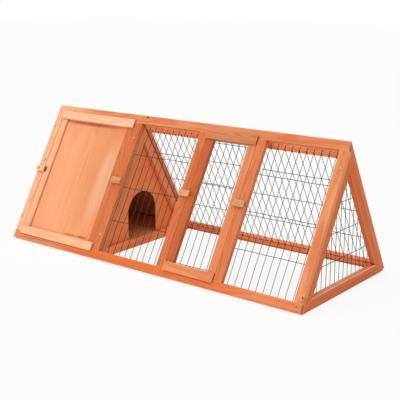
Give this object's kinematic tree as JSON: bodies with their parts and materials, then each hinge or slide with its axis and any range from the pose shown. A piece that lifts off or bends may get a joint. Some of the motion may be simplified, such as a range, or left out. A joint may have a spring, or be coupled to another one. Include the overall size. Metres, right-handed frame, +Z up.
{
  "type": "outdoor rabbit run",
  "caption": "A-frame timber rabbit run with a closed plywood nest at one end, a welded-wire run beyond it and lift-off doors held by turn-buttons.",
  "frame": {"origin": "on the ground at the middle of the footprint", "axes": "+X along the ridge from the closed nest end to the wire end, -Y towards the slope with both doors, +Z up"},
  "size_m": [1.18, 0.5, 0.4456],
  "materials": {
    "batten": "orange stained softwood battens, satin",
    "door_batten": "paler stained softwood battens, satin",
    "plywood": "orange stained plywood sheet, satin",
    "button_wood": "pale wood offcut, matte",
    "wire": "galvanised welded wire, dull",
    "screw": "zinc plated screws"
  },
  "bodies": {
    "frame": {"front_top_rail": "batten", "front_bottom_rail": "batten", "front_post_left": "batten", "front_post_nest": "batten", "front_post_mid": "batten", "front_post_door": "batten", "front_post_right": "batten", "front_mesh_left": "wire", "front_mesh_right": "wire", "rear_top_rail": "batten", "rear_bottom_rail": "batten", "rear_post_left": "batten", "rear_post_nest": "batten", "rear_post_right": "batten", "rear_nest_wall": "plywood", "rear_mesh": "wire", "left_end_front_leg": "batten", "left_end_rear_leg": "batten", "left_end_rail": "batten", "left_end_panel": "plywood", "right_end_front_leg": "batten", "right_end_rear_leg": "batten", "right_end_rail": "batten", "right_end_mesh": "wire", "divider_front_batten": "batten", "divider_rear_batten": "batten", "divider_sill": "batten", "divider_panel": "plywood", "nest_floor": "plywood", "floor_bearer_front": "batten", "floor_bearer_rear": "batten", "nest_button_left_screw": "screw", "nest_button_right_screw": "screw", "run_button_left_screw": "screw", "run_button_right_screw": "screw", "frame_screw_left_lower": "screw", "frame_screw_left_upper": "screw", "frame_screw_nest_lower": "screw", "frame_screw_nest_upper": "screw", "frame_screw_right_lower": "screw", "frame_screw_right_upper": "screw"},
    "nest_door": {"nest_door_top_rail": "door_batten", "nest_door_bottom_rail": "door_batten", "nest_door_left_stile": "batten", "nest_door_right_stile": "batten", "nest_door_panel": "plywood"},
    "run_door": {"run_door_top_rail": "door_batten", "run_door_bottom_rail": "door_batten", "run_door_left_stile": "batten", "run_door_right_stile": "batten", "run_door_mesh": "wire"},
    "left_nest_button": {"nest_button_left": "button_wood"},
    "right_nest_button": {"nest_button_right": "button_wood"},
    "left_run_button": {"run_button_left": "button_wood"},
    "right_run_button": {"run_button_right": "button_wood"}
  },
  "joints": [
    {"name": "nest_door_lift", "type": "slide", "parent": "frame", "child": "nest_door", "axis": [0, -0.8683, 0.496], "range_m": [0, 0.35]},
    {"name": "run_door_lift", "type": "slide", "parent": "frame", "child": "run_door", "axis": [0, -0.8683, 0.496], "range_m": [0, 0.35]},
    {"name": "left_nest_button_turn", "type": "hinge", "parent": "frame", "child": "left_nest_button", "pos_m": [-0.576, -0.12103, 0.2337], "axis": [0, -0.8683, 0.496], "range_deg": [0, 90]},
    {"name": "right_nest_button_turn", "type": "hinge", "parent": "frame", "child": "right_nest_button", "pos_m": [-0.2, -0.11706, 0.24064], "axis": [0, -0.8683, 0.496], "range_deg": [-90, 0]},
    {"name": "left_run_button_turn", "type": "hinge", "parent": "frame", "child": "left_run_button", "pos_m": [0.07725, -0.11706, 0.24064], "axis": [0, -0.8683, 0.496], "range_deg": [0, 90]},
    {"name": "right_run_button_turn", "type": "hinge", "parent": "frame", "child": "right_run_button", "pos_m": [0.29875, -0.11706, 0.24064], "axis": [0, -0.8683, 0.496], "range_deg": [-90, 0]}
  ],
  "couplings": [
    {"joint": "left_nest_button_turn", "follows": "nest_door_lift", "rad_per_m": 4.4875},
    {"joint": "right_nest_button_turn", "follows": "nest_door_lift", "rad_per_m": -4.4875},
    {"joint": "left_run_button_turn", "follows": "run_door_lift", "rad_per_m": 4.4875},
    {"joint": "right_run_button_turn", "follows": "run_door_lift", "rad_per_m": -4.4875}
  ]
}
